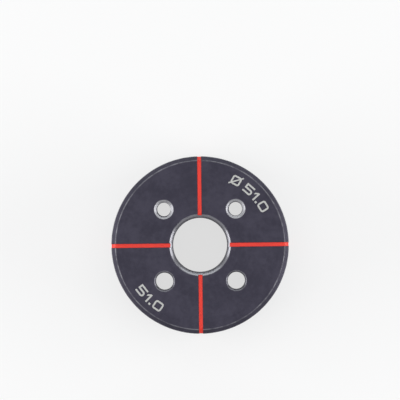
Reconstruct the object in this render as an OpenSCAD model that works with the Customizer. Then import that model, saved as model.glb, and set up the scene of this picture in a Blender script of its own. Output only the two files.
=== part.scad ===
// Knockout die
// The cup-shaped die of a draw-stud hole punch, turned from one piece of tool steel.
// The draw stud passes through its end wall and pulls the punch up into the cavity,
// which then holds the slug until it is pushed out through the holes beside the stud.
// Two of those holes are tapped.
// Millimetres, turning axis on Z, cutting rim on z = 0, marked face up.

/* [Body] */
// Outside diameter
body_d = 64; // [60:0.5:80]
// Height from the cutting rim to the marked face
body_h = 34; // [30:0.5:46]
// Bevel round the marked face
face_bevel = 1.5; // [0.5:0.1:2.5]
// Edge break round the outside of the rim
rim_break = 0.6; // [0.2:0.1:1.2]

/* [Slug cavity] */
// Diameter of the hole it cuts, which is also the punch's
hole_d = 50.5; // [46:0.5:54]
// Gap between the punch and the cutting edge on each side
cut_gap = 0.2; // [0.1:0.05:0.4]
// Height of the straight cutting land above the rim
land_h = 6; // [3:0.5:10]
// How far the wall steps back behind the land, so that the slug comes free
relief = 0.5; // [0.2:0.1:1]
// Thickness of the end wall
end_wall = 9; // [6:0.5:12]
// Fillet where the cavity's wall meets the end wall
end_fillet = 3; // [1:0.5:5]

/* [Draw stud bore] */
// Diameter of the draw stud
stud_d = 19.05; // [12:0.05:20]
// Gap round the stud on each side
stud_gap = 0.25; // [0.1:0.05:0.5]
// Bevel of the bore at the marked face
bore_bevel = 1.25; // [0.4:0.05:2]

/* [Slug holes] */
// Diameter of the plain holes that the slug is pushed out through
slug_hole_d = 6.3; // [4:0.1:8]
// Pitch circle of the plain holes and the tapped holes
slug_pcd = 36.6; // [34:0.1:40]
// Bevel of the plain holes at the marked face
slug_bevel = 0.5; // [0.2:0.05:0.8]
// Edge break of the bore and all these holes inside the cavity
inner_break = 0.4; // [0.1:0.05:0.8]

/* [Tapped holes] */
// How many of the holes on the pitch circle are tapped
tap_n = 2; // [1:1:3]
// Nominal diameter of their thread
tap_d = 6; // [4:1:8]
// Pitch of their thread
tap_pitch = 1; // [0.7:0.05:1.25]
// Bevel of the tapped holes at the marked face
tap_bevel = 1; // [0.6:0.1:1.4]

/* [Target lines] */
// Number of lines, each with a hole half way to the next
line_n = 4; // [3:1:6]
// Width of a line
line_w = 1.5; // [0.8:0.1:2.4]
// Depth of a line, on the face, the bevel and the side alike
line_depth = 0.35; // [0.2:0.05:0.6]

/* [Hidden] */
$fn = 144;
// How far a cutter runs past the surface that it cuts
past = 1;
body_r = body_d / 2;
land_r = hole_d / 2 + cut_gap;
wall_r = land_r + relief;
cavity_h = body_h - end_wall;
bore_r = stud_d / 2 + stud_gap;
slug_r = slug_hole_d / 2;
// Crests of the thread, five eighths of its sharp height in from the nominal diameter
tap_r = tap_d / 2 - 5 / 8 * sqrt(3) / 2 * tap_pitch;
line_step = 360 / line_n;
// A line keeps its depth round the bevel's two corners, which are 45 degree turns
line_turn = line_depth * tan(45 / 2);

// Outside of the die, before anything is cut
module blank() {
    rotate_extrude()
        polygon([
            [0, 0],
            [body_r - rim_break, 0],
            [body_r, rim_break],
            [body_r, body_h - face_bevel],
            [body_r - face_bevel, body_h],
            [0, body_h]
        ]);
}

// Cutting land, step and relieved wall, with a filleted end
module cavity() {
    rotate_extrude()
        difference() {
            polygon([
                [0, -past],
                [land_r, -past],
                [land_r, land_h],
                [wall_r, land_h + relief],
                [wall_r, cavity_h],
                [0, cavity_h]
            ]);
            translate([wall_r - end_fillet, cavity_h - end_fillet])
                difference() {
                    square(end_fillet + past);
                    circle(r = end_fillet);
                }
        }
}

// Hole through the end wall, bevelled at the marked face and broken inside
module end_wall_hole(r, bevel) {
    rotate_extrude()
        polygon([
            [0, cavity_h - past],
            [r + inner_break + past, cavity_h - past],
            [r, cavity_h + inner_break],
            [r, body_h - bevel],
            [r + bevel + past, body_h + past],
            [0, body_h + past]
        ]);
}

// One engraved line: out from the bore, over the bevel and down the side to the rim
module target_line() {
    rotate([90, 0, 0])
        linear_extrude(height = line_w, center = true)
            polygon([
                [0, body_h - line_depth],
                [body_r - face_bevel - line_turn, body_h - line_depth],
                [body_r - line_depth, body_h - face_bevel - line_turn],
                [body_r - line_depth, -past],
                [body_r + past, -past],
                [body_r + past, body_h + past],
                [0, body_h + past]
            ]);
}

module knockout_die() {
    color("dimgray")
        difference() {
            blank();
            cavity();
            end_wall_hole(bore_r, bore_bevel);
            for (i = [0 : line_n - 1])
                rotate(i * line_step) {
                    target_line();
                    rotate(line_step / 2)
                        translate([slug_pcd / 2, 0, 0])
                            if (i < tap_n) end_wall_hole(tap_r, tap_bevel);
                            else end_wall_hole(slug_r, slug_bevel);
                }
        }
}

knockout_die();
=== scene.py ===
"""Knockout die: a finely turned body, enamelled target lines and etched numbers, in a plain studio."""
import logging
import math
from dataclasses import dataclass, field
from enum import Enum

import bmesh
import bpy
from mathutils import Matrix, Vector


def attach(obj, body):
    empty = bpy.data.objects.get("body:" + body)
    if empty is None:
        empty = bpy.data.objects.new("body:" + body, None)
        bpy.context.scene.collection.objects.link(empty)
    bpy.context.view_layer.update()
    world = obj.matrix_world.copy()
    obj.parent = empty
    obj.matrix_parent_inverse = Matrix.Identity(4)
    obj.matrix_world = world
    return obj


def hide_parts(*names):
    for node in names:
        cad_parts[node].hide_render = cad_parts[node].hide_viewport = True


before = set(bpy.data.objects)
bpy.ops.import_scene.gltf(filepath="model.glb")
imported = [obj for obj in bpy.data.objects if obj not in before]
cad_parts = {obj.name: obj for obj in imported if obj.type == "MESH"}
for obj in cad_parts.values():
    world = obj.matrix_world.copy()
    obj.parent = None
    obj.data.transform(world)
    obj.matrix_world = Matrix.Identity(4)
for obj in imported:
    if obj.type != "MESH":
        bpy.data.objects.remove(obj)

LOG = logging.getLogger("knockout_die")
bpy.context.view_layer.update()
BODY = "root"
NODE = "knockout_die"
MM = 0.001


class Tops(Enum):
    """Which way the tops of a row of etched numbers point."""

    OUTWARD = 1
    INWARD = -1


# Node graphs


class Graph:
    """Adds nodes to one node tree and joins them."""

    def __init__(self, tree: bpy.types.NodeTree) -> None:
        """Start on an empty tree.

        Args:
            tree: the node tree to fill.
        """
        self.tree = tree
        self.tree.nodes.clear()

    def add(self, kind: str, **settings: object) -> bpy.types.Node:
        """Add one node.

        Args:
            kind: the node's type, without the leading ShaderNode.
            settings: attributes to set on the node.

        Returns:
            The new node.
        """
        node = self.tree.nodes.new("ShaderNode" + kind if not kind.startswith("Node") else kind)
        for name, value in settings.items():
            setattr(node, name, value)
        return node

    def feed(self, socket: bpy.types.NodeSocket, value: object) -> None:
        """Link a socket to an input, or set the input's value.

        Args:
            socket: the input socket.
            value: an output socket, a number, or a tuple.
        """
        if isinstance(value, bpy.types.NodeSocket):
            self.tree.links.new(value, socket)
        else:
            socket.default_value = value

    def maths(self, operation: str, *values: object, clamp: bool = False) -> bpy.types.NodeSocket:
        """Add a Math node.

        Args:
            operation: its operation.
            values: its inputs, in order.
            clamp: whether the result is held between 0 and 1.

        Returns:
            The result.
        """
        node = self.add("Math", operation=operation, use_clamp=clamp)
        for socket, value in zip(node.inputs, values):
            self.feed(socket, value)
        return node.outputs[0]

    def band(self, value: object, low: float, high: float, out_low: float = 0.0,
             out_high: float = 1.0) -> bpy.types.NodeSocket:
        """Map a value smoothly from one range to another.

        Args:
            value: the value to map.
            low: where the input range starts.
            high: where it ends.
            out_low: the result at its start.
            out_high: the result at its end.

        Returns:
            The mapped value.
        """
        node = self.add("MapRange", interpolation_type="SMOOTHSTEP")
        for socket, item in zip(node.inputs, (value, low, high, out_low, out_high)):
            self.feed(socket, item)
        return node.outputs[0]

    def mix(self, factor: object, first: object, second: object) -> bpy.types.NodeSocket:
        """Mix two colours.

        Args:
            factor: how much of the second.
            first: the first colour.
            second: the second colour.

        Returns:
            The mixed colour.
        """
        node = self.add("Mix", data_type="RGBA")
        for name, item in (("Factor_Float", factor), ("A_Color", first), ("B_Color", second)):
            self.feed(next(s for s in node.inputs if s.identifier == name), item)
        return next(s for s in node.outputs if s.identifier == "Result_Color")

    def length(self, first: object, second: object) -> bpy.types.NodeSocket:
        """Work out the distance that two legs, square to each other, span.

        Args:
            first: the first leg.
            second: the second leg.

        Returns:
            The distance.
        """
        squares = [self.maths("MULTIPLY", leg, leg) for leg in (first, second)]
        return self.maths("SQRT", self.maths("ADD", *squares))

    def noise(self, vector: object, scale: float, detail: float = 2.0,
              roughness: float = 0.5) -> bpy.types.NodeSocket:
        """Add a noise texture.

        Args:
            vector: where it is read.
            scale: its scale, per metre.
            detail: how many octaves it has.
            roughness: how strong the finer octaves are.

        Returns:
            Its value, around 0.5.
        """
        node = self.add("TexNoise")
        self.feed(node.inputs["Vector"], vector)
        node.inputs["Scale"].default_value = scale
        node.inputs["Detail"].default_value = detail
        node.inputs["Roughness"].default_value = roughness
        return node.outputs["Fac"]

    def group(self, shared: bpy.types.NodeTree, **values: object) -> bpy.types.Node:
        """Place a shared effect.

        Args:
            shared: its node group.
            values: its inputs by name.

        Returns:
            The group node.
        """
        node = self.add("Group", node_tree=shared)
        for name, value in values.items():
            self.feed(node.inputs[name], value)
        return node


def new_group(name: str, inputs: dict[str, str],
              outputs: dict[str, str]) -> tuple[Graph, bpy.types.Node, bpy.types.Node]:
    """Start a shared effect.

    Args:
        name: the group's name.
        inputs: socket type by input name.
        outputs: socket type by output name.

    Returns:
        Its graph, its input node and its output node.
    """
    tree = bpy.data.node_groups.new(name, "ShaderNodeTree")
    for label, kind in inputs.items():
        tree.interface.new_socket(name=label, in_out="INPUT", socket_type="NodeSocket" + kind)
    for label, kind in outputs.items():
        tree.interface.new_socket(name=label, in_out="OUTPUT", socket_type="NodeSocket" + kind)
    graph = Graph(tree)
    return graph, graph.add("NodeGroupInput"), graph.add("NodeGroupOutput")


def seen_directly(graph: Graph) -> bpy.types.NodeSocket:
    """Tell rays that show a background, straight, mirrored or through glass, from those that light things.

    Args:
        graph: the graph of a material or a world.

    Returns:
        1 for a ray that shows it, 0 for the others.
    """
    path = graph.add("LightPath")
    mirrored = graph.maths("MAXIMUM", path.outputs["Is Glossy Ray"], path.outputs["Is Transmission Ray"])
    return graph.maths("MAXIMUM", path.outputs["Is Camera Ray"], mirrored)


class SharedEffects:
    """The effects that more than one finish, or more than one place on it, uses."""

    def __init__(self) -> None:
        """Build every group once."""
        self.turned = self._turned()
        self.clouds = self._clouds()
        self.edge = self._edge()

    @staticmethod
    def _turned() -> bpy.types.NodeTree:
        """Build fine tool marks that run round the Z axis.

        Returns:
            A group that gives a height and a tone, both around 0.5.
        """
        graph, given, result = new_group("turned_marks", {"Vector": "Vector", "Pitch": "Float"},
                                         {"Height": "Float", "Tone": "Float"})
        parts = graph.add("SeparateXYZ")
        graph.feed(parts.inputs[0], given.outputs["Vector"])
        radius = graph.length(parts.outputs[0], parts.outputs[1])
        along = graph.maths("MULTIPLY_ADD", parts.outputs[2], 1.37, radius)
        step = graph.maths("DIVIDE", along, given.outputs["Pitch"])
        fine = graph.add("TexNoise", noise_dimensions="1D")
        graph.feed(fine.inputs["W"], step)
        fine.inputs["Scale"].default_value = 1.0
        fine.inputs["Detail"].default_value = 3.0
        broad = graph.add("TexNoise", noise_dimensions="1D")
        graph.feed(broad.inputs["W"], graph.maths("MULTIPLY", step, 0.13))
        broad.inputs["Scale"].default_value = 1.0
        broad.inputs["Detail"].default_value = 1.0
        graph.feed(result.inputs["Height"], fine.outputs["Fac"])
        graph.feed(result.inputs["Tone"], graph.maths("MULTIPLY_ADD", broad.outputs["Fac"], 0.6,
                                                      graph.maths("MULTIPLY", fine.outputs["Fac"], 0.4)))
        return graph.tree

    @staticmethod
    def _clouds() -> bpy.types.NodeTree:
        """Build the soft clouding of a dipped finish.

        Returns:
            A group that gives clouds and a fine speckle, both 0 to 1.
        """
        graph, given, result = new_group("dip_clouds", {"Vector": "Vector"},
                                         {"Cloud": "Float", "Speckle": "Float"})
        vector = given.outputs["Vector"]
        slow = graph.noise(vector, 110.0, 4.0, 0.6)
        quick = graph.noise(vector, 520.0, 3.0, 0.55)
        both = graph.maths("MULTIPLY_ADD", slow, 0.65, graph.maths("MULTIPLY", quick, 0.35))
        graph.feed(result.inputs["Cloud"], graph.band(both, 0.36, 0.66))
        graph.feed(result.inputs["Speckle"], graph.band(graph.noise(vector, 3600.0, 2.0, 0.6), 0.3, 0.75))
        return graph.tree

    @staticmethod
    def _edge() -> bpy.types.NodeTree:
        """Build the burnished line along one round edge, which handling wears.

        Returns:
            A group that gives a mask, 1 on the edge and 0 past its width.
        """
        graph, given, result = new_group(
            "round_edge", {"Vector": "Vector", "Radius": "Float", "Height": "Float", "Width": "Float"},
            {"Mask": "Float"})
        parts = graph.add("SeparateXYZ")
        graph.feed(parts.inputs[0], given.outputs["Vector"])
        radius = graph.length(parts.outputs[0], parts.outputs[1])
        across = graph.maths("SUBTRACT", radius, given.outputs["Radius"])
        above = graph.maths("SUBTRACT", parts.outputs[2], given.outputs["Height"])
        away = graph.length(across, above)
        graph.feed(result.inputs["Mask"], graph.maths(
            "SUBTRACT", 1.0, graph.maths("DIVIDE", away, given.outputs["Width"]), clamp=True))
        return graph.tree


# Sizes


@dataclass(frozen=True)
class DieSizes:
    """The die's sizes in metres, the same as in the part's source."""

    body_r: float = 32.0 * MM
    body_h: float = 34.0 * MM
    face_bevel: float = 1.5 * MM
    rim_break: float = 0.6 * MM
    land_r: float = 25.45 * MM
    land_h: float = 6.0 * MM
    relief: float = 0.5 * MM
    end_wall: float = 9.0 * MM
    end_fillet: float = 3.0 * MM
    bore_r: float = 9.775 * MM
    bore_bevel: float = 1.25 * MM
    slug_r: float = 3.15 * MM
    slug_ring_r: float = 18.3 * MM
    slug_bevel: float = 0.5 * MM
    inner_break: float = 0.4 * MM
    tap_n: int = 2
    tap_d: float = 6.0 * MM
    tap_pitch: float = 1.0 * MM
    tap_bevel: float = 1.0 * MM
    line_w: float = 1.5 * MM
    line_depth: float = 0.35 * MM
    line_n: int = 4

    @property
    def cavity_h(self) -> float:
        """Give the height of the cavity's end."""
        return self.body_h - self.end_wall

    @property
    def wall_r(self) -> float:
        """Give the radius of the relieved wall."""
        return self.land_r + self.relief

    @property
    def tap_r(self) -> float:
        """Give the radius of the thread's crests."""
        return self.tap_d / 2 - 5 / 8 * math.sqrt(3) / 2 * self.tap_pitch

    def line_path(self, sink: float) -> list[tuple[float, float]]:
        """Trace a target line at some depth, from inside the bore to below the rim.

        Args:
            sink: how far under the surface the trace runs.

        Returns:
            Radius and height of each corner.
        """
        turn = sink * math.tan(math.radians(22.5))
        return [
            (self.bore_r, self.body_h - sink),
            (self.body_r - self.face_bevel - turn, self.body_h - sink),
            (self.body_r - sink, self.body_h - self.face_bevel - turn),
            (self.body_r - sink, -MM),
        ]


# Finishes


@dataclass(frozen=True)
class BlackOxide:
    """Blackened tool steel: a blue-black dip over fine turning marks, burnished on its edges."""

    sizes: DieSizes
    dark: tuple[float, float, float, float] = (0.0149, 0.0132, 0.0258, 1.0)
    pale: tuple[float, float, float, float] = (0.0355, 0.0324, 0.0515, 1.0)
    burnished: tuple[float, float, float, float] = (0.56, 0.56, 0.59, 1.0)
    tool_pitch: float = 0.16 * MM
    wear_bare: float = 0.27
    wear_smooth: float = 0.55
    bore_bare: float = 0.31
    plain_bare: float = 0.14
    tapped_bare: float = 0.58
    metallic: float = 0.35
    specular: float = 0.3
    rough: float = 0.56
    speckle_rough: float = 0.08
    marks_rough: float = -0.08
    smooth_rough: float = -0.32
    bump: float = 0.16
    bump_depth: float = 0.02 * MM

    def material(self, shared: SharedEffects) -> bpy.types.Material:
        """Build the finish.

        Args:
            shared: the shared effects.

        Returns:
            The material.
        """
        sizes = self.sizes
        made = bpy.data.materials.new("black_oxide_steel")
        made.use_nodes = True
        graph = Graph(made.node_tree)
        place = graph.add("TexCoord").outputs["Object"]
        parts = graph.add("SeparateXYZ")
        graph.feed(parts.inputs[0], place)
        clouds = graph.group(shared.clouds, Vector=place)
        marks = graph.group(shared.turned, Vector=place, Pitch=self.tool_pitch)
        # The four holes share one quarter, on to which both plan axes are folded. The upper two are tapped.
        quarter = sizes.slug_ring_r * math.sqrt(0.5)
        folded = graph.add("CombineXYZ")
        for axis in (0, 1):
            folded_axis = graph.maths("ABSOLUTE", parts.outputs[axis])
            graph.feed(folded.inputs[axis], graph.maths("SUBTRACT", folded_axis, quarter))
        graph.feed(folded.inputs[2], parts.outputs[2])
        at_hole = folded.outputs[0]
        tapped = graph.maths("GREATER_THAN", parts.outputs[1], 0.0)
        hole_r = graph.maths("MULTIPLY_ADD", tapped, sizes.tap_r - sizes.slug_r, sizes.slug_r)
        hole_bevel = graph.maths("MULTIPLY_ADD", tapped, sizes.tap_bevel - sizes.slug_bevel, sizes.slug_bevel)
        wear = 0.0
        for vector, radius, height, width in (
                (place, sizes.bore_r + sizes.bore_bevel, sizes.body_h, 0.30 * MM),
                (place, sizes.bore_r, sizes.body_h - sizes.bore_bevel, 0.30 * MM),
                (place, sizes.body_r - sizes.face_bevel, sizes.body_h, 0.35 * MM),
                (place, sizes.body_r, sizes.body_h - sizes.face_bevel, 0.45 * MM),
                (place, sizes.body_r, sizes.rim_break, 0.35 * MM),
                (place, sizes.body_r - sizes.rim_break, 0.0, 0.35 * MM),
                (place, sizes.land_r, 0.0, 0.55 * MM),
                (at_hole, graph.maths("ADD", hole_r, hole_bevel), sizes.body_h, 0.25 * MM),
                (at_hole, hole_r, graph.maths("SUBTRACT", sizes.body_h, hole_bevel), 0.25 * MM)):
            edge = graph.group(shared.edge, Vector=vector, Radius=radius, Height=height, Width=width)
            wear = graph.maths("MAXIMUM", wear, edge.outputs["Mask"])
        patchy = graph.band(graph.noise(place, 420.0, 4.0, 0.65), 0.34, 0.68, 0.25, 1.0)
        wear = graph.maths("MULTIPLY", wear, patchy)
        bore_bevel = self._bevel(graph, place, sizes.bore_r, sizes.bore_bevel)
        hole_bevel = self._bevel(graph, at_hole, hole_r, hole_bevel)
        tone = graph.maths("MULTIPLY_ADD", marks.outputs["Tone"], 0.35,
                           graph.maths("MULTIPLY", clouds.outputs["Cloud"], 0.65), clamp=True)
        oxide = graph.mix(tone, self.dark, self.pale)
        # The bevels that were cut for the threads are mostly bare, and the others hold most of their oxide.
        hole_share = graph.maths("MULTIPLY_ADD", tapped, self.tapped_bare - self.plain_bare, self.plain_bare)
        bare = graph.maths("MAXIMUM", graph.maths("MULTIPLY", wear, self.wear_bare),
                           graph.maths("MULTIPLY", bore_bevel, self.bore_bare))
        bare = graph.maths("MAXIMUM", bare, graph.maths("MULTIPLY", hole_bevel, hole_share))
        bevels = graph.maths("MAXIMUM", bore_bevel, graph.maths("SUBTRACT", hole_bevel, tapped))
        smooth = graph.maths("MAXIMUM", graph.maths("MULTIPLY", wear, self.wear_smooth), bevels, clamp=True)
        shader = graph.add("BsdfPrincipled")
        graph.feed(shader.inputs["Base Color"], graph.mix(bare, oxide, self.burnished))
        graph.feed(shader.inputs["Metallic"], graph.maths(
            "MULTIPLY_ADD", bare, 1.0 - self.metallic, self.metallic, clamp=True))
        shader.inputs["Specular IOR Level"].default_value = self.specular
        rough = graph.maths("MULTIPLY_ADD", clouds.outputs["Speckle"], self.speckle_rough, self.rough)
        rough = graph.maths("MULTIPLY_ADD", marks.outputs["Height"], self.marks_rough, rough)
        rough = graph.maths("MULTIPLY_ADD", smooth, self.smooth_rough, rough, clamp=True)
        graph.feed(shader.inputs["Roughness"], rough)
        relief = graph.maths("MULTIPLY_ADD", marks.outputs["Height"], 0.8, clouds.outputs["Speckle"])
        bump = graph.add("Bump")
        bump.inputs["Strength"].default_value = self.bump
        bump.inputs["Distance"].default_value = self.bump_depth
        graph.feed(bump.inputs["Height"], relief)
        graph.feed(shader.inputs["Normal"], bump.outputs[0])
        graph.feed(graph.add("OutputMaterial").inputs["Surface"], shader.outputs[0])
        return made

    def _bevel(self, graph: Graph, place: bpy.types.NodeSocket, radius: object,
               bevel: object) -> bpy.types.NodeSocket:
        """Mask the machined bevel of a hole at the marked face.

        Args:
            graph: the material's graph.
            place: the place relative to the hole's axis.
            radius: the hole's radius.
            bevel: the width of its bevel.

        Returns:
            The mask.
        """
        parts = graph.add("SeparateXYZ")
        graph.feed(parts.inputs[0], place)
        reach = graph.length(parts.outputs[0], parts.outputs[1])
        inward = graph.maths("SUBTRACT", graph.maths("ADD", radius, bevel), reach)
        upward = graph.maths("SUBTRACT", parts.outputs[2], graph.maths("SUBTRACT", self.sizes.body_h, bevel))
        return graph.maths("MULTIPLY", graph.band(inward, -0.04 * MM, 0.08 * MM),
                           graph.band(upward, -0.06 * MM, 0.06 * MM))


@dataclass(frozen=True)
class RedEnamel:
    """Red enamel wiped into the engraved lines: satin, thinner along its ragged edges."""

    half_w: float
    full: tuple[float, float, float, float] = (0.74, 0.035, 0.021, 1.0)
    thin: tuple[float, float, float, float] = (0.16, 0.012, 0.011, 1.0)
    ragged: float = 0.22 * MM
    patchy: float = 0.16
    rough: float = 0.42
    speckle_rough: float = 0.10
    specular: float = 0.3
    bump: float = 0.25
    bump_depth: float = 0.03 * MM

    def material(self, shared: SharedEffects) -> bpy.types.Material:
        """Build the finish.

        Args:
            shared: the shared effects.

        Returns:
            The material.
        """
        made = bpy.data.materials.new("red_enamel")
        made.use_nodes = True
        graph = Graph(made.node_tree)
        place = graph.add("TexCoord").outputs["Object"]
        parts = graph.add("SeparateXYZ")
        graph.feed(parts.inputs[0], place)
        # Each line lies along one plan axis, so the smaller coordinate is the way across it.
        across = graph.maths("MINIMUM", graph.maths("ABSOLUTE", parts.outputs[0]),
                             graph.maths("ABSOLUTE", parts.outputs[1]))
        ragged = graph.maths("MULTIPLY_ADD", graph.noise(place, 1500.0, 3.0), self.ragged, across)
        clouds = graph.group(shared.clouds, Vector=place)
        edge = graph.band(ragged, self.half_w - 0.10 * MM, self.half_w + 0.12 * MM)
        patch = graph.maths("MULTIPLY", clouds.outputs["Cloud"], self.patchy)
        shader = graph.add("BsdfPrincipled")
        graph.feed(shader.inputs["Base Color"],
                   graph.mix(graph.maths("MAXIMUM", edge, patch), self.full, self.thin))
        graph.feed(shader.inputs["Roughness"], graph.maths(
            "MULTIPLY_ADD", clouds.outputs["Speckle"], self.speckle_rough, self.rough))
        shader.inputs["Specular IOR Level"].default_value = self.specular
        bump = graph.add("Bump")
        bump.inputs["Strength"].default_value = self.bump
        bump.inputs["Distance"].default_value = self.bump_depth
        graph.feed(bump.inputs["Height"], graph.noise(place, 1400.0, 2.0))
        graph.feed(shader.inputs["Normal"], bump.outputs[0])
        graph.feed(graph.add("OutputMaterial").inputs["Surface"], shader.outputs[0])
        return made


@dataclass(frozen=True)
class EtchedPale:
    """Pale etched metal: matt, with the fine hatching of the beam that cut it."""

    pale: tuple[float, float, float, float] = (0.56, 0.56, 0.54, 1.0)
    dull: tuple[float, float, float, float] = (0.24, 0.24, 0.245, 1.0)
    hatch_pitch: float = 0.11 * MM
    hatch_share: float = 0.6
    speckle_share: float = 0.35
    rough: float = 0.55
    speckle_rough: float = 0.15
    bump: float = 0.2
    bump_depth: float = 0.02 * MM

    def material(self, shared: SharedEffects) -> bpy.types.Material:
        """Build the finish.

        Args:
            shared: the shared effects.

        Returns:
            The material.
        """
        made = bpy.data.materials.new("etched_pale")
        made.use_nodes = True
        graph = Graph(made.node_tree)
        place = graph.add("TexCoord").outputs["Object"]
        hatch = graph.group(shared.turned, Vector=place, Pitch=self.hatch_pitch)
        clouds = graph.group(shared.clouds, Vector=place)
        worn = graph.maths("MULTIPLY_ADD", graph.band(hatch.outputs["Height"], 0.35, 0.65, 0.6, 0.0),
                           self.hatch_share,
                           graph.maths("MULTIPLY", clouds.outputs["Speckle"], self.speckle_share), clamp=True)
        shader = graph.add("BsdfPrincipled")
        graph.feed(shader.inputs["Base Color"], graph.mix(worn, self.pale, self.dull))
        graph.feed(shader.inputs["Roughness"], graph.maths(
            "MULTIPLY_ADD", clouds.outputs["Speckle"], self.speckle_rough, self.rough))
        bump = graph.add("Bump")
        bump.inputs["Strength"].default_value = self.bump
        bump.inputs["Distance"].default_value = self.bump_depth
        graph.feed(bump.inputs["Height"], hatch.outputs["Height"])
        graph.feed(shader.inputs["Normal"], bump.outputs[0])
        graph.feed(graph.add("OutputMaterial").inputs["Surface"], shader.outputs[0])
        return made


@dataclass(frozen=True)
class PaleFloor:
    """Plain pale floor: it takes the shadow, lifts its tone where it is seen, and fades to white far off."""

    colour: tuple[float, float, float, float] = (0.80, 0.80, 0.80, 1.0)
    white: tuple[float, float, float, float] = (1.0, 1.0, 1.0, 1.0)
    lift: float = 0.68
    fade_from: float = 0.12
    fade_to: float = 0.80

    def material(self) -> bpy.types.Material:
        """Build the finish.

        Returns:
            The material.
        """
        made = bpy.data.materials.new("pale_floor")
        made.use_nodes = True
        graph = Graph(made.node_tree)
        matt = graph.add("BsdfDiffuse")
        matt.inputs["Color"].default_value = self.colour
        dimmed = graph.add("BsdfDiffuse")
        dimmed.inputs["Color"].default_value = tuple(c * (1.0 - self.lift) for c in self.colour[:3]) + (1.0,)
        glow = graph.add("Emission")
        glow.inputs["Color"].default_value = self.white
        glow.inputs["Strength"].default_value = self.lift
        near = graph.add("AddShader")
        graph.feed(near.inputs[0], dimmed.outputs[0])
        graph.feed(near.inputs[1], glow.outputs[0])
        far = graph.add("Emission")
        far.inputs["Color"].default_value = self.white
        away = graph.add("VectorMath", operation="LENGTH")
        graph.feed(away.inputs[0], graph.add("TexCoord").outputs["Object"])
        seen = self._either(graph, graph.band(away.outputs["Value"], self.fade_from, self.fade_to), near, far)
        above = self._either(graph, seen_directly(graph), matt, seen)
        below = graph.add("BsdfTransparent")
        sides = self._either(graph, graph.add("NewGeometry").outputs["Backfacing"], above, below)
        graph.feed(graph.add("OutputMaterial").inputs["Surface"], sides.outputs[0])
        return made

    @staticmethod
    def _either(graph: Graph, factor: bpy.types.NodeSocket, first: bpy.types.Node,
                second: bpy.types.Node) -> bpy.types.Node:
        """Mix two shaders.

        Args:
            graph: the material's graph.
            factor: how much of the second.
            first: the first shader's node.
            second: the second shader's node.

        Returns:
            The node that mixes them.
        """
        node = graph.add("MixShader")
        graph.feed(node.inputs[0], factor)
        graph.feed(node.inputs[1], first.outputs[0])
        graph.feed(node.inputs[2], second.outputs[0])
        return node


# Pieces


def new_piece(name: str, mesh: bpy.types.Mesh) -> bpy.types.Object:
    """Put a mesh into the scene as an object at the origin.

    Args:
        name: the object's name.
        mesh: its mesh.

    Returns:
        The object.
    """
    made = bpy.data.objects.new(name, mesh)
    bpy.context.scene.collection.objects.link(made)
    return made


def mesh_from(shape: bmesh.types.BMesh, name: str) -> bpy.types.Mesh:
    """Turn a bmesh into a mesh and free it.

    Args:
        shape: the bmesh.
        name: the mesh's name.

    Returns:
        The mesh.
    """
    mesh = bpy.data.meshes.new(name)
    shape.to_mesh(mesh)
    shape.free()
    return mesh


def outline(shape: bmesh.types.BMesh, points: list[tuple[float, float]],
            closed: bool = True) -> list[bmesh.types.BMVert]:
    """Draw a wire in the XZ plane.

    Args:
        shape: the bmesh to draw in.
        points: radius and height of each corner.
        closed: whether the last corner joins the first.

    Returns:
        The wire's vertices.
    """
    verts = [shape.verts.new((r, 0.0, z)) for r, z in points]
    for first, second in zip(verts, verts[1:] + verts[:1] if closed else verts[1:]):
        shape.edges.new((first, second))
    return verts


def turn(shape: bmesh.types.BMesh, steps: int) -> None:
    """Spin a bmesh's wire right round the Z axis and close the seam.

    Args:
        shape: the bmesh, which holds only the wire.
        steps: how many facets the full turn has.
    """
    bmesh.ops.spin(shape, geom=shape.verts[:] + shape.edges[:], cent=(0, 0, 0), axis=(0, 0, 1),
                   dvec=(0, 0, 0), angle=math.tau, steps=steps, use_merge=True, use_duplicate=False)
    bmesh.ops.remove_doubles(shape, verts=shape.verts[:], dist=1e-7)
    bmesh.ops.recalc_face_normals(shape, faces=shape.faces[:])


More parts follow.
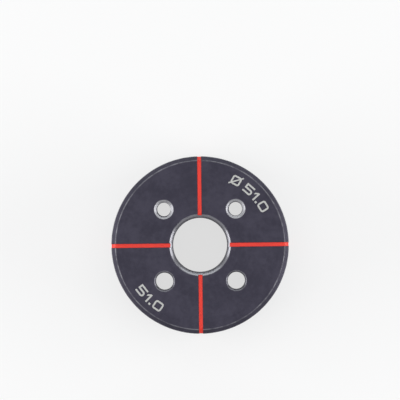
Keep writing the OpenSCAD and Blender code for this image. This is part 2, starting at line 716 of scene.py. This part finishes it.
@dataclass
class DieBody:
    """The turned body, with its cavity, bore, plain and tapped holes and engraved lines."""

    sizes: DieSizes
    facets: int = 288
    hole_facets: int = 64
    fillet_segments: int = 10
    edge_round: float = 0.09 * MM
    edge_segments: int = 2
    round_from: float = 28.0
    sharp_from: float = 50.0
    past: float = MM
    thread_facets: int = 48
    thread_clear: float = 0.15 * MM
    thread_start: float = 86.0
    piece: bpy.types.Object | None = field(default=None, init=False)

    def build(self) -> None:
        """Turn the blank, cut it, round its edges and tap its threads."""
        body = new_piece("die_body", mesh_from(self._blank(), "die_body"))
        self._cut(body, self._cutter())
        rounded = body.modifiers.new("edges", "BEVEL")
        rounded.width = self.edge_round
        rounded.segments = self.edge_segments
        rounded.limit_method = "ANGLE"
        rounded.angle_limit = math.radians(self.round_from)
        rounded.use_clamp_overlap = False
        self._cut(body, self._thread())
        body.data.shade_smooth()
        body.data.set_sharp_from_angle(angle=math.radians(self.sharp_from))
        even = body.modifiers.new("normals", "WEIGHTED_NORMAL")
        even.keep_sharp = True
        even.weight = 50
        self.piece = body

    @staticmethod
    def _cut(body: bpy.types.Object, shape: bmesh.types.BMesh) -> None:
        """Cut a shape out of the body and apply every modifier that it has.

        Args:
            body: the body.
            shape: the shape to cut away.
        """
        cutter = new_piece("cutter", mesh_from(shape, "cutter"))
        cut = body.modifiers.new("cut", "BOOLEAN")
        cut.operation = "DIFFERENCE"
        cut.solver = "MANIFOLD"
        cut.object = cutter
        done = bpy.data.meshes.new_from_object(body.evaluated_get(bpy.context.evaluated_depsgraph_get()))
        body.modifiers.clear()
        body.data = done
        done.name = body.name
        bpy.data.objects.remove(cutter)

    def dress(self, steel: bpy.types.Material) -> None:
        """Give the body its finish and let it stand for the CAD node.

        Args:
            steel: the finish.
        """
        self.piece.data.materials.clear()
        self.piece.data.materials.append(steel)
        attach(self.piece, BODY)
        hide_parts(NODE)

    def _blank(self) -> bmesh.types.BMesh:
        """Turn everything that runs right round the axis.

        Returns:
            The blank.
        """
        s = self.sizes
        shape = bmesh.new()
        verts = outline(shape, [
            (s.bore_r, s.cavity_h + s.inner_break),
            (s.bore_r, s.body_h - s.bore_bevel),
            (s.bore_r + s.bore_bevel, s.body_h),
            (s.body_r - s.face_bevel, s.body_h),
            (s.body_r, s.body_h - s.face_bevel),
            (s.body_r, s.rim_break),
            (s.body_r - s.rim_break, 0.0),
            (s.land_r, 0.0),
            (s.land_r, s.land_h),
            (s.wall_r, s.land_h + s.relief),
            (s.wall_r, s.cavity_h),
            (s.bore_r + s.inner_break, s.cavity_h),
        ])
        bmesh.ops.bevel(shape, geom=[verts[10]], offset=s.end_fillet, offset_type="OFFSET", affect="VERTICES",
                        segments=self.fillet_segments, profile=0.5, material=-1)
        turn(shape, self.facets)
        return shape

    def _cutter(self) -> bmesh.types.BMesh:
        """Make the holes beside the bore and the engraved lines as one cutter.

        Returns:
            The cutter.
        """
        s = self.sizes
        shape = bmesh.new()
        for index in range(s.line_n):
            hole = self._hole(s.tap_r, s.tap_bevel) if index < s.tap_n else self._hole(s.slug_r, s.slug_bevel)
            self._add(shape, hole, s.slug_ring_r, index + 0.5)
            self._add(shape, self._groove(), 0.0, index)
        return shape

    def _add(self, whole: bmesh.types.BMesh, part: bmesh.types.BMesh, out: float, step: float) -> None:
        """Move a shape out along +X, turn it round the axis and add it to another.

        Args:
            whole: the shape that it is added to.
            part: the shape, which is freed.
            out: how far it moves out.
            step: how far it turns, in steps from one line to the next.
        """
        bmesh.ops.translate(part, verts=part.verts[:], vec=(out, 0.0, 0.0))
        bmesh.ops.rotate(part, verts=part.verts[:], cent=(0, 0, 0),
                         matrix=Matrix.Rotation(math.tau * step / self.sizes.line_n, 3, "Z"))
        held = mesh_from(part, "held")
        whole.from_mesh(held)
        bpy.data.meshes.remove(held)

    def _hole(self, radius: float, bevel: float) -> bmesh.types.BMesh:
        """Turn the cutter of one hole through the end wall.

        Args:
            radius: the hole's radius.
            bevel: its bevel at the marked face.

        Returns:
            The cutter, on the Z axis.
        """
        s = self.sizes
        shape = bmesh.new()
        outline(shape, [
            (0.0, s.cavity_h - self.past),
            (radius + s.inner_break + self.past, s.cavity_h - self.past),
            (radius, s.cavity_h + s.inner_break),
            (radius, s.body_h - bevel),
            (radius + bevel + self.past, s.body_h + self.past),
            (0.0, s.body_h + self.past),
        ], closed=False)
        turn(shape, self.hole_facets)
        return shape

    def _groove(self) -> bmesh.types.BMesh:
        """Make the cutter of one engraved line.

        Returns:
            The cutter, along +X.
        """
        s = self.sizes
        shape = bmesh.new()
        path = s.line_path(s.line_depth) + [(s.body_r + self.past, -self.past),
                                            (s.body_r + self.past, s.body_h + self.past),
                                            (s.bore_r, s.body_h + self.past)]
        side = shape.faces.new([shape.verts.new((r, -s.line_w / 2, z)) for r, z in path])
        grown = bmesh.ops.extrude_face_region(shape, geom=[side], use_keep_orig=True)
        bmesh.ops.translate(shape, verts=[v for v in grown["geom"] if isinstance(v, bmesh.types.BMVert)],
                            vec=(0.0, s.line_w, 0.0))
        bmesh.ops.recalc_face_normals(shape, faces=shape.faces[:])
        return shape

    def _thread(self) -> bmesh.types.BMesh:
        """Sweep a V up a helix in each tapped hole, past both ends of the hole.

        Returns:
            The cutter of every thread.
        """
        s = self.sizes
        flat = s.tap_pitch / 8
        inside = s.tap_r - self.thread_clear
        flare = flat / 2 + (s.tap_d / 2 - inside) * math.tan(math.radians(30))
        start = s.cavity_h - s.tap_pitch
        turns = s.end_wall / s.tap_pitch + 2
        steps = round(turns * self.thread_facets)
        shape = bmesh.new()
        for index in range(s.tap_n):
            tap = bmesh.new()
            verts = [tap.verts.new((r, 0.0, start + z)) for r, z in (
                (inside, -flare), (s.tap_d / 2, -flat / 2), (s.tap_d / 2, flat / 2), (inside, flare))]
            tap.faces.new(verts)
            bmesh.ops.spin(tap, geom=tap.verts[:] + tap.edges[:] + tap.faces[:], cent=(0, 0, 0),
                           axis=(0, 0, 1), dvec=(0, 0, s.tap_pitch * turns / steps), angle=math.tau * turns,
                           steps=steps, use_merge=False, use_duplicate=False)
            bmesh.ops.holes_fill(tap, edges=[edge for edge in tap.edges if edge.is_boundary], sides=4)
            bmesh.ops.recalc_face_normals(tap, faces=tap.faces[:])
            bmesh.ops.rotate(tap, verts=tap.verts[:], cent=(0, 0, 0),
                             matrix=Matrix.Rotation(math.radians(self.thread_start), 3, "Z"))
            self._add(shape, tap, s.slug_ring_r, index + 0.5)
        return shape


@dataclass
class TargetLines:
    """The enamel that fills the engraved lines, dished a little between the groove's edges."""

    sizes: DieSizes
    side_sink: float = 0.05 * MM
    dish: float = 0.09 * MM
    across: int = 10
    along: tuple[int, int, int] = (24, 3, 28)
    pieces: list[bpy.types.Object] = field(default_factory=list, init=False)

    def build(self) -> None:
        """Make one strip of enamel for each line."""
        for index in range(self.sizes.line_n):
            strip = self._strip()
            bmesh.ops.rotate(strip, verts=strip.verts[:], cent=(0, 0, 0),
                             matrix=Matrix.Rotation(math.tau * index / self.sizes.line_n, 3, "Z"))
            mesh = mesh_from(strip, "target_line_%d" % (index + 1))
            mesh.shade_smooth()
            self.pieces.append(new_piece("target_line_%d" % (index + 1), mesh))

    def dress(self, enamel: bpy.types.Material) -> None:
        """Give each strip its finish and let it ride.

        Args:
            enamel: the finish.
        """
        for piece in self.pieces:
            piece.data.materials.append(enamel)
            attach(piece, BODY)

    def _stations(self, sink: float) -> list[tuple[float, float]]:
        """Give the strip's corners along the line, cut off at the bore's bevel and at the rim.

        Args:
            sink: how far under the surface the strip's skin runs.

        Returns:
            Radius and height of each station.
        """
        s = self.sizes
        path = s.line_path(sink)
        start = (s.bore_r + s.bore_bevel - sink, path[0][1])
        end = (path[3][0], max(s.rim_break - sink, 0.0))
        stations = [start]
        corners = (start, path[1], path[2], end)
        for low, high, count in zip(corners, corners[1:], self.along):
            for i in range(1, count + 1):
                stations.append((low[0] + (high[0] - low[0]) * i / count,
                                 low[1] + (high[1] - low[1]) * i / count))
        return stations

    def _strip(self) -> bmesh.types.BMesh:
        """Lay a grid along the line, dish its skin and give it a body down to the groove's floor.

        Returns:
            The strip, along +X.
        """
        s = self.sizes
        count = len(self._stations(0.0))
        shape = bmesh.new()
        bmesh.ops.create_grid(shape, x_segments=count - 1, y_segments=self.across, size=0.5)
        bmesh.ops.translate(shape, verts=shape.verts[:], vec=(0.5, 0.0, 0.0))
        grown = bmesh.ops.extrude_face_region(shape, geom=shape.faces[:], use_keep_orig=True)
        lower = {v for v in grown["geom"] if isinstance(v, bmesh.types.BMVert)}
        for vert in shape.verts:
            station = round(vert.co.x * (count - 1))
            side = vert.co.y * 2.0
            sink = s.line_depth if vert in lower else self.side_sink + self.dish * (1.0 - side ** 4)
            r, z = self._stations(sink)[station]
            vert.co = Vector((r, side * s.line_w / 2, z))
        bmesh.ops.recalc_face_normals(shape, faces=shape.faces[:])
        return shape


@dataclass(frozen=True)
class Stroke:
    """One flat shape of an etched character, in shares of the character's height."""

    corners: tuple[tuple[float, float], ...]
    rounded: tuple[tuple[int, float], ...] = ()
    hollow: bool = False
    rise: float = 1.0

    def plate(self, height: float, weight: float, skin: float) -> bmesh.types.BMesh:
        """Make the shape as a thin plate.

        Args:
            height: the character's height.
            weight: the width of the line that a hollow shape is drawn with.
            skin: half the plate's thickness.

        Returns:
            The plate, in the XY plane.
        """
        shape = bmesh.new()
        verts = [shape.verts.new((x * height, y * height, -skin)) for x, y in self.corners]
        shape.faces.new(verts)
        for radius in sorted({radius for _, radius in self.rounded}):
            bmesh.ops.bevel(shape, geom=[verts[i] for i, r in self.rounded if r == radius],
                            offset=radius * height, offset_type="OFFSET", affect="VERTICES", segments=6,
                            profile=0.5, material=-1)
        if self.hollow:
            ring = bmesh.ops.inset_region(shape, faces=shape.faces[:], thickness=weight * height,
                                          use_boundary=True, use_even_offset=True)["faces"]
            inside = [face for face in shape.faces if face not in ring]
            bmesh.ops.delete(shape, geom=inside, context="FACES_ONLY")
        grown = bmesh.ops.extrude_face_region(shape, geom=shape.faces[:], use_keep_orig=True)
        bmesh.ops.translate(shape, verts=[v for v in grown["geom"] if isinstance(v, bmesh.types.BMVert)],
                            vec=(0.0, 0.0, skin + skin * self.rise))
        return shape


@dataclass(frozen=True)
class WideFigures:
    """A plain wide style of figures: every length is a share of their height."""

    weight: float = 0.18
    wide: float = 1.04
    narrow: float = 0.46
    dot: float = 0.22
    bowl: float = 0.27
    flag: float = 0.26
    flag_w: float = 0.216
    waist: float = 0.52
    tail: float = 0.09
    bar_half: float = 0.072
    bar_rise: float = 1.25

    def width(self, character: str) -> float:
        """Give the room that a character takes along its row.

        Args:
            character: the character.

        Returns:
            Its width.
        """
        return {"1": self.narrow, ".": self.dot}.get(character, self.wide)

    def strokes(self, character: str) -> list[Stroke]:
        """Draw one character.

        Args:
            character: 0, 1, 5, a point or the sign for a diameter.

        Returns:
            Its shapes, with the lower left of its room at the origin.
        """
        line, wide, narrow, dot = self.weight, self.wide, self.narrow, self.dot
        if character == ".":
            return [Stroke(((0.0, 0.0), (dot, 0.0), (dot, dot), (0.0, dot)))]
        if character == "1":
            stem = narrow - line
            return [Stroke(((stem, 0.0), (narrow, 0.0), (narrow, 1.0), (stem, 1.0), (0.0, 1.0 - self.flag),
                            (0.0, 1.0 - self.flag - self.flag_w), (stem, 1.0 - self.flag_w)))]
        if character == "5":
            under, over = self.waist - line / 2, self.waist + line / 2
            inner = self.bowl - line
            return [Stroke(((0.0, 0.0), (wide, 0.0), (wide, over), (line, over), (line, 1.0 - line),
                            (wide, 1.0 - line), (wide, 1.0), (0.0, 1.0), (0.0, under), (wide - line, under),
                            (wide - line, line), (0.0, line)),
                           rounded=((1, self.bowl), (2, self.bowl), (9, inner), (10, inner)))]
        ring = Stroke(((0.0, 0.0), (wide, 0.0), (wide, 1.0), (0.0, 1.0)),
                      rounded=tuple((corner, self.bowl) for corner in range(4)), hollow=True)
        if character == "0":
            return [ring]
        low, high = Vector((-self.tail, -self.tail)), Vector((wide + self.tail, 1.0 + self.tail))
        aside = (high - low).orthogonal().normalized() * self.bar_half
        bar = tuple(tuple(corner) for corner in (low - aside, high - aside, high + aside, low + aside))
        return [ring, Stroke(bar, rise=self.bar_rise)]


@dataclass
class SizeNumbers:
    """Plain numbers etched along two arcs of the marked face."""

    sizes: DieSizes
    figures: WideFigures = field(default_factory=WideFigures)
    height: float = 3.4 * MM
    ring_r: float = 26.6 * MM
    skin: float = 0.012 * MM
    gap: float = 0.72 * MM
    space: float = 1.3 * MM
    upper_middle: float = 45.5
    lower_middle: float = 226.0
    pieces: list[bpy.types.Object] = field(default_factory=list, init=False)

    def build(self) -> None:
        """Etch a long row at the upper right and a short one at the lower left."""
        self._row("etched_row_1", "Ø 51.0", self.upper_middle, Tops.OUTWARD)
        self._row("etched_row_2", "51.0", self.lower_middle, Tops.INWARD)

    def dress(self, etched: bpy.types.Material) -> None:
        """Give each row its finish and let it ride.

        Args:
            etched: the finish.
        """
        for piece in self.pieces:
            piece.data.materials.append(etched)
            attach(piece, BODY)

    def _row(self, name: str, text: str, middle: float, tops: Tops) -> None:
        """Set one row of characters along an arc, centred on it.

        Args:
            name: the piece's name.
            text: the characters.
            middle: angle of the row's middle, in degrees.
            tops: which way their tops point.
        """
        centres: list[tuple[str, float]] = []
        along = 0.0
        for character in text:
            if character == " ":
                along += self.space
                continue
            width = self.figures.width(character) * self.height
            centres.append((character, along + width / 2))
            along += width + self.gap
        length = along - self.gap
        row = bmesh.new()
        for character, centre in centres:
            angle = math.radians(middle) + tops.value * (length / 2 - centre) / self.ring_r
            facing = angle - tops.value * math.pi / 2
            spot = Vector((self.ring_r * math.cos(angle), self.ring_r * math.sin(angle), self.sizes.body_h))
            corner = Vector((-self.figures.width(character), -1.0, 0.0)) * self.height / 2
            place = Matrix.Translation(spot) @ Matrix.Rotation(facing, 4, "Z") @ Matrix.Translation(corner)
            for stroke in self.figures.strokes(character):
                plate = stroke.plate(self.height, self.figures.weight, self.skin)
                bmesh.ops.transform(plate, matrix=place, verts=plate.verts[:])
                held = mesh_from(plate, "stroke")
                row.from_mesh(held)
                bpy.data.meshes.remove(held)
        bmesh.ops.recalc_face_normals(row, faces=row.faces[:])
        self.pieces.append(new_piece(name, mesh_from(row, name)))


# Studio


@dataclass(frozen=True)
class Softbox:
    """One rectangular lamp that faces the die: where it hangs, its size, power and tint."""

    name: str
    place: tuple[float, float, float]
    wide: float
    high: float
    watts: float
    tint: tuple[float, float, float] = (1.0, 1.0, 1.0)

    def hang(self, target: Vector) -> None:
        """Put the lamp into the scene.

        Args:
            target: the point that it faces.
        """
        lamp = bpy.data.lights.new(self.name, "AREA")
        lamp.shape = "RECTANGLE"
        lamp.size = self.wide
        lamp.size_y = self.high
        lamp.energy = self.watts
        lamp.color = self.tint
        holder = bpy.data.objects.new(self.name, lamp)
        bpy.context.scene.collection.objects.link(holder)
        holder.location = self.place
        holder.rotation_euler = (target - Vector(self.place)).to_track_quat("-Z", "Y").to_euler()


@dataclass
class Studio:
    """Floor, light and camera."""

    face_h: float
    mm_per_pixel: float = 0.36
    lens: float = 280.0
    sensor: float = 36.0
    frame_px: int = 400
    centre_px: tuple[float, float] = (200.1, 245.1)
    roll_deg: float = 0.65
    floor_gap: float = 0.02 * MM
    floor_half: float = 6.0
    room_tint: tuple[float, float, float, float] = (0.96, 0.98, 1.0, 1.0)
    room_light: float = 0.24
    white: tuple[float, float, float, float] = (1.0, 1.0, 1.0, 1.0)
    softboxes: tuple[Softbox, ...] = (
        Softbox("left_softbox", (-0.62, -0.04, 0.22), 0.60, 0.40, 4.0),
        Softbox("right_softbox", (0.62, -0.04, 0.22), 0.60, 0.40, 4.0),
        Softbox("far_softbox", (0.0, 0.66, 0.18), 1.20, 0.30, 2.3, (0.94, 1.0, 0.97)),
        Softbox("top_softbox", (0.0, 0.05, 0.95), 0.80, 0.80, 3.0),
    )

    def build(self) -> None:
        """Lay the floor, set the light and place the camera."""
        self._floor()
        self._world()
        for softbox in self.softboxes:
            softbox.hang(Vector((0.0, 0.0, self.face_h)))
        self._camera()
        bpy.context.scene.view_settings.view_transform = "Standard"

    def _floor(self) -> None:
        """Lay a wide floor."""
        shape = bmesh.new()
        bmesh.ops.create_grid(shape, x_segments=2, y_segments=2, size=self.floor_half)
        bmesh.ops.translate(shape, verts=shape.verts[:], vec=(0.0, 0.0, -self.floor_gap))
        floor = new_piece("floor", mesh_from(shape, "floor"))
        floor.data.materials.append(PaleFloor().material())

    def _world(self) -> None:
        """Fill the room with soft light, pale where it is seen."""
        world = bpy.data.worlds.new("studio")
        bpy.context.scene.world = world
        world.use_nodes = True
        graph = Graph(world.node_tree)
        dim = graph.add("Background")
        dim.inputs["Color"].default_value = self.room_tint
        dim.inputs["Strength"].default_value = self.room_light
        pale = graph.add("Background")
        pale.inputs["Color"].default_value = self.white
        pale.inputs["Strength"].default_value = 1.0
        choice = graph.add("MixShader")
        graph.feed(choice.inputs[0], seen_directly(graph))
        graph.feed(choice.inputs[1], dim.outputs[0])
        graph.feed(choice.inputs[2], pale.outputs[0])
        graph.feed(graph.add("OutputWorld").inputs["Surface"], choice.outputs[0])

    def _camera(self) -> None:
        """Look straight down, with the die where the photograph has it."""
        camera = bpy.data.cameras.new("camera")
        camera.sensor_width = self.sensor
        camera.lens = self.lens
        holder = bpy.data.objects.new("camera", camera)
        bpy.context.scene.collection.objects.link(holder)
        across = self.mm_per_pixel * MM
        away = across * self.frame_px * self.lens / self.sensor
        roll = math.radians(-self.roll_deg)
        middle = self.frame_px / 2
        off = Vector((middle - self.centre_px[0], self.centre_px[1] - middle, 0.0)) * across
        off.rotate(Matrix.Rotation(roll, 3, "Z"))
        holder.location = (off.x, off.y, self.face_h + away)
        holder.rotation_euler = (0.0, 0.0, roll)
        bpy.context.scene.camera = holder


def main() -> None:
    """Build the die and its studio."""
    logging.basicConfig(level=logging.INFO, format="%(name)s: %(message)s")
    sizes = DieSizes()
    shared = SharedEffects()
    body = DieBody(sizes)
    body.build()
    body.dress(BlackOxide(sizes).material(shared))
    lines = TargetLines(sizes)
    lines.build()
    lines.dress(RedEnamel(sizes.line_w / 2).material(shared))
    numbers = SizeNumbers(sizes)
    numbers.build()
    numbers.dress(EtchedPale().material(shared))
    for piece in [body.piece] + lines.pieces + numbers.pieces:
        LOG.info("%s: %d faces", piece.name, len(piece.data.polygons))
    Studio(face_h=sizes.body_h).build()


if __name__ == "__main__":
    main()
